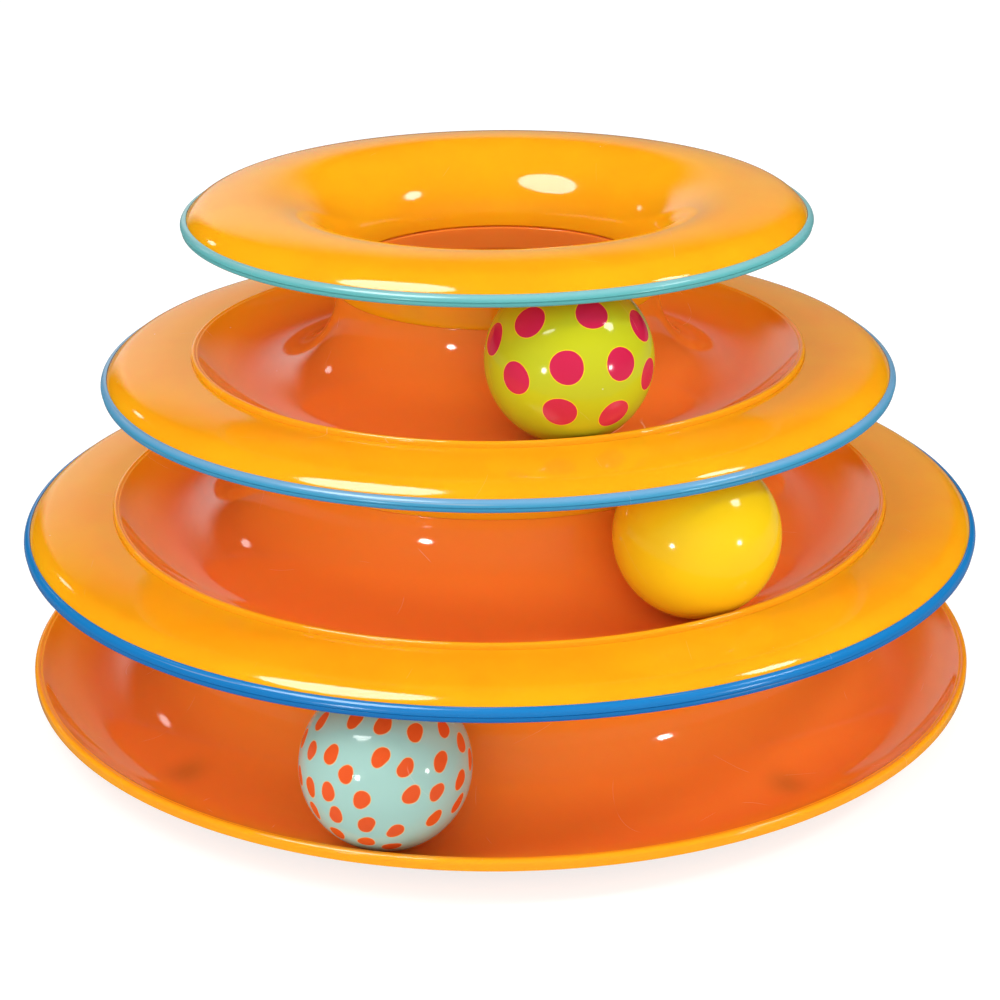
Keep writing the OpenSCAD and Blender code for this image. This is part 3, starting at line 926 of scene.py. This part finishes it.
# Points along a half shell's outside and inside, and how deep its print goes
OUTER_STEPS, INNER_STEPS = 120, 30
PRINT_DEPTH = 0.2 * MM


def turn_matrix(degrees_xyz):
    """Rotation about X, then Y, then Z."""
    a, b, c = np.radians(degrees_xyz)
    about_x = np.array([[1, 0, 0], [0, cos(a), -sin(a)], [0, sin(a), cos(a)]])
    about_y = np.array([[cos(b), 0, sin(b)], [0, 1, 0], [-sin(b), 0, cos(b)]])
    about_z = np.array([[cos(c), -sin(c), 0], [sin(c), cos(c), 0], [0, 0, 1]])
    return about_z @ about_y @ about_x


def unit(vectors):
    return vectors / np.linalg.norm(vectors, axis=-1, keepdims=True)


def ball_space(ball_name):
    """Centre and radius of the ball whose two halves the frame holds."""
    corners = np.array([[tuple(c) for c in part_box(f"{ball_name}_ball_half_{half}")] for half in "ab"])
    lowest, highest = corners[:, 0].min(0), corners[:, 1].max(0)
    return (lowest + highest) / 2, float((highest - lowest).max() / 2)


def facing_axes(centre):
    """Rows: right, up and toward the camera, as the camera sees a ball at centre."""
    toward = unit(np.array(CAMERA_AT) - centre)
    right = unit(np.cross((0, 0, 1), toward))
    return turn_matrix((0, 0, -CAMERA_ROLL)) @ np.array([right, np.cross(toward, right), toward])


def dot_middles(axes, radius, facing, count, edge_turn, spacing):
    """Directions of the dots: the facing ones at their offsets, and on the far side those places of an even
    spiral of count that lie over edge_turn degrees from the camera's way and over spacing degrees from
    the facing ones."""
    flat = np.array(facing) * MM / radius
    toward = np.sqrt(np.clip(1 - (flat ** 2).sum(1), LEAST_FACING, 1))
    seen = unit(flat @ axes[:2] + toward[:, None] * axes[2])
    order = np.arange(count) + 0.5
    height = 1 - 2 * order / count
    ring, turn = np.sqrt(1 - height ** 2), order * GOLDEN_TURN
    spiral = np.stack([ring * np.cos(turn), ring * np.sin(turn), height], 1) @ axes
    far = spiral[height < cos(radians(edge_turn))]
    apart = np.arccos(np.clip(far @ seen.T, -1, 1)).min(1)
    return np.vstack([seen, far[apart > radians(spacing)]])


def dot_field(towards, radius, dots, lean, half_long, half_wide, wobble, flat):
    """Distance inside the nearest dot's edge at each direction, and how far flat dots pull the surface in.
    A dot is an ellipse, long the way lean points, that wobbles a little; a flat one lies at cos(edge) /
    cos(angle) of the radius, and FLAT_SHARE of that is taken."""
    angle = np.arccos(np.clip(towards @ dots.T, -1, 1))
    long_way = unit(lean - (dots @ lean)[:, None] * dots)
    wide_way = np.cross(dots, long_way)
    turn = np.arctan2(towards @ wide_way.T, towards @ long_way.T)
    kinks = np.arange(len(dots)) * GOLDEN_TURN
    edge = half_long * half_wide / np.hypot(half_wide * np.cos(turn), half_long * np.sin(turn))
    edge = edge * (1 + wobble * (np.cos(3 * turn + kinks) + np.cos(2 * turn + 5 * kinks) + np.sin(7 * kinks)))
    field = (edge - angle * radius).max(1)
    if not flat:
        return field, 1
    pulled = np.cos(edge / radius) / np.cos(np.minimum(angle, FLAT_REACH))
    return field, 1 - FLAT_SHARE * (1 - np.minimum(pulled, 1).min(1))


def half_outline(radius, half):
    """Half of a ball's shell from pole to pole, heights counted from the weld: half a has a tongue on its
    rim, half b the recess that takes it."""
    inner = radius - BALL_WALL
    step = radius - BALL_WALL / 2
    rim = degrees(asin(WELD_BEVEL / radius))
    if half == "a":
        return np.vstack([
            arc((0, 0), radius, -90, -rim, OUTER_STEPS),
            [[radius - WELD_BEVEL, 0], [step - TONGUE_GAP, 0], [step - TONGUE_GAP, TONGUE_H],
             [sqrt(inner ** 2 - TONGUE_H ** 2), TONGUE_H]],
            arc((0, 0), inner, degrees(asin(TONGUE_H / inner)), -90, INNER_STEPS)[1:]])
    top = TONGUE_H + TONGUE_GAP
    return np.vstack([
        arc((0, 0), inner, 90, degrees(asin(top / inner)), INNER_STEPS)[:-1],
        [[sqrt(inner ** 2 - top ** 2), top], [step, top], [step, 0], [radius - WELD_BEVEL, 0]],
        arc((0, 0), radius, rim, 90, OUTER_STEPS)])


def ball_half(ball_name, half, slot, material, angle, tilt, printed=None):
    """One half shell, turned about the weld's axis, tilted, turned by its ball's angle round the track and
    moved to the ball's centre. printed comes from print_of."""
    centre, radius = ball_space(ball_name)
    points, faces = turned_solid(half_outline(radius, half), BALL_SIDES)
    points = points @ (turn_matrix((0, 0, angle)) @ turn_matrix(tilt)).T
    values = {}
    if printed:
        field, pulled = dot_field(unit(points), radius, **printed)
        outside = np.linalg.norm(points, axis=1) > radius - PRINT_DEPTH
        points = points * np.where(outside, pulled, 1)[:, None]
        values["dot_edge"] = np.where(outside, field, -radius)
    made = mesh_object(f"{ball_name}_ball_shell_{half}", points + centre, faces, **values)
    piece(made, f"{ball_name}_ball", slot, material, f"{ball_name}_ball_half_{half}")


def print_of(ball_name, facing, count, edge_turn, spacing, lean_turn, **shape):
    """A ball's dots, the way they lean, counted in degrees from the picture's right to its top, and their
    shape: half sizes, wobble and whether they are flat."""
    centre, radius = ball_space(ball_name)
    axes = facing_axes(centre)
    dots = dot_middles(axes, radius, facing, count, edge_turn, spacing)
    lean = cos(radians(lean_turn)) * axes[0] + sin(radians(lean_turn)) * axes[1]
    return dict(dots=dots, lean=lean, **shape)


AQUA_PRINT = print_of("base", AQUA_DOTS, count=86, edge_turn=93, spacing=17, lean_turn=57,
                      half_long=2.4 * MM, half_wide=1.78 * MM, wobble=0.045, flat=True)
LIME_PRINT = print_of("upper", LIME_DOTS, count=32, edge_turn=99, spacing=26, lean_turn=40,
                      half_long=3.9 * MM, half_wide=3.9 * MM, wobble=0.015, flat=False)
for half in "ab":
    ball_half("base", half, "ball_aqua_dotted", BALL_AQUA, angle=-14.4, tilt=(62, 18, 0), printed=AQUA_PRINT)
    ball_half("lower", half, "ball_yellow", BALL_YELLOW, angle=33.3, tilt=(40, -30, 0))
    ball_half("upper", half, "ball_lime_dotted", BALL_LIME, angle=15.5, tilt=(75, 25, 0), printed=LIME_PRINT)


# Floor, world and lamps

# The floor's paleness as a source of light, to the camera and in reflections, and its lift to white
FLOOR_PALE = 0.8
FLOOR_SEEN = 0.4
FLOOR_MIRRORED = 0.2
FLOOR_LIFT = 0.74
FLOOR_HALF = 6.0


def floor():
    """A wide pale square: the camera sees it lifted to white, with the toy's shadow; reflections, dimmed."""
    corners = FLOOR_HALF * np.array([[-1, -1, 0], [1, -1, 0], [1, 1, 0], [-1, 1, 0]])
    made = mesh_object("floor", corners, [np.array([[0, 1, 2, 3]])])
    material, tree = new_material("pale_floor")
    path = add(tree, "ShaderNodeLightPath").outputs
    seen = calc(tree, "MAXIMUM", path["Is Camera Ray"], path["Is Transmission Ray"])
    shown = calc(tree, "MULTIPLY_ADD", seen, FLOOR_SEEN - FLOOR_PALE, FLOOR_PALE)
    shown = blend_colour(tree, path["Is Glossy Ray"], shown, (FLOOR_MIRRORED,) * 3 + (1.0,))
    lift = calc(tree, "MULTIPLY", seen, FLOOR_LIFT)
    finish_surface(tree, Base_Color=shown, Roughness=0.9, Specular_IOR_Level=0.0,
                   Emission_Color=lift, Emission_Strength=1.0)
    made.data.materials.append(material)


# Sky that reflections show, in degrees: a backdrop, brightest at its left edge, and a dim room in front
BACKDROP_LEFT = (-29.0, -20.0)
BACKDROP_DIMS = (-22.0, 6.0)
BACKDROP_RIGHT = (27.0, 9.0)
BACKDROP_TOP = (30.0, 17.0)
BACKDROP_LEVEL = 0.85
BACKDROP_DIMMED = 0.3
FRONT_TOP = (40.0, 24.0)
FRONT_LEVEL = 0.12
# Even light for everything else, and what the front adds near the horizon
SKY_LEVEL = 0.60
FRONT_FILL = 2.0


def world():
    """White for the camera, the backdrop for reflections, a pale light, stronger in front, for the rest."""
    made = bpy.data.worlds.new("studio")
    bpy.context.scene.world = made
    made.use_nodes = True
    tree = made.node_tree
    tree.nodes.clear()
    path = add(tree, "ShaderNodeLightPath").outputs
    part = parts(tree, add(tree, "ShaderNodeTexCoord").outputs["Generated"])
    turn = calc(tree, "DEGREES", calc(tree, "ARCTAN2", part["X"], part["Y"]))
    height = calc(tree, "DEGREES", calc(tree, "ARCSINE", part["Z"]))
    front = calc(tree, "MAXIMUM", calc(tree, "MULTIPLY", part["Y"], -1.0), 0.0)
    backdrop = ramp(tree, turn, *BACKDROP_DIMS, BACKDROP_LEVEL, BACKDROP_DIMMED)
    for value, edge in ((turn, BACKDROP_LEFT), (turn, BACKDROP_RIGHT), (height, BACKDROP_TOP)):
        backdrop = calc(tree, "MULTIPLY", backdrop, ramp(tree, value, *edge))
    room = calc(tree, "MULTIPLY", ramp(tree, height, *FRONT_TOP), calc(tree, "MULTIPLY", front, FRONT_LEVEL))
    mirrored = calc(tree, "ADD", backdrop, room)
    fill = calc(tree, "MULTIPLY", front, calc(tree, "SUBTRACT", 1.0, calc(tree, "ABSOLUTE", part["Z"])))
    even = calc(tree, "MULTIPLY_ADD", fill, FRONT_FILL, SKY_LEVEL)
    strength = blend_colour(tree, path["Is Glossy Ray"], even, mirrored)
    seen = calc(tree, "MAXIMUM", path["Is Camera Ray"], path["Is Transmission Ray"])
    strength = blend_colour(tree, seen, strength, (1.0, 1.0, 1.0, 1.0))
    sky = add(tree, "ShaderNodeBackground", {"Color": strength, "Strength": 1.0})
    add(tree, "ShaderNodeOutputWorld", {"Surface": sky.outputs[0]})


# Height that the lamps look at
AIM_Z = 0.07


def lamp(name, azimuth, elevation, distance, size, mirrored, power=0.0):
    """Soft round lamp that looks at the toy from azimuth, counted from the front to the right, and elevation:
    one for reflections, as bright as mirrored, its energy pi times that over the disc's area; and one of
    power for light, where there is any."""
    az, el = radians(azimuth), radians(elevation)
    shown = mirrored * pi * pi * size * size / 4
    for part, energy, lights in (("_mirrored", shown, False), ("", power, True)):
        if not energy:
            continue
        light = bpy.data.lights.new(name + part, "AREA")
        light.shape = "DISK"
        light.size = size
        light.energy = energy
        made = new_object(name + part, light)
        made.location = (distance * cos(el) * sin(az), -distance * cos(el) * cos(az),
                         AIM_Z + distance * sin(el))
        made.rotation_euler = (pi / 2 - el, 0.0, az)
        made.visible_camera = False
        made.visible_diffuse = lights
        made.visible_glossy = not lights


floor()
world()
lamp("softbox_left", azimuth=-54, elevation=59, distance=1.1, size=0.58, mirrored=12.0, power=4.6)
lamp("softbox_right", azimuth=75, elevation=43, distance=1.1, size=0.22, mirrored=14.0, power=3.2)
lamp("low_lamp_left", azimuth=-31, elevation=3, distance=0.75, size=0.07, mirrored=45.0)
lamp("low_lamp_right", azimuth=51, elevation=3, distance=0.75, size=0.06, mirrored=45.0)
lamp("rim_lamp", azimuth=-130, elevation=24, distance=0.75, size=0.06, mirrored=4.5)

camera = bpy.data.cameras.new("camera")
camera.sensor_width = SENSOR_MM
camera.lens = FOCAL_PX / IMAGE_PX * SENSOR_MM
camera.shift_x = CROP_RIGHT
camera.shift_y = CROP_UP
camera_object = new_object("camera", camera)
camera_object.location = CAMERA_AT
pitched = Matrix.Rotation(pi / 2 - radians(CAMERA_PITCH), 3, "X")
rolled = Matrix.Rotation(radians(CAMERA_ROLL), 3, "Z")
camera_object.rotation_euler = (pitched @ rolled).to_euler()
bpy.context.scene.camera = camera_object
bpy.context.scene.view_settings.view_transform = "Standard"
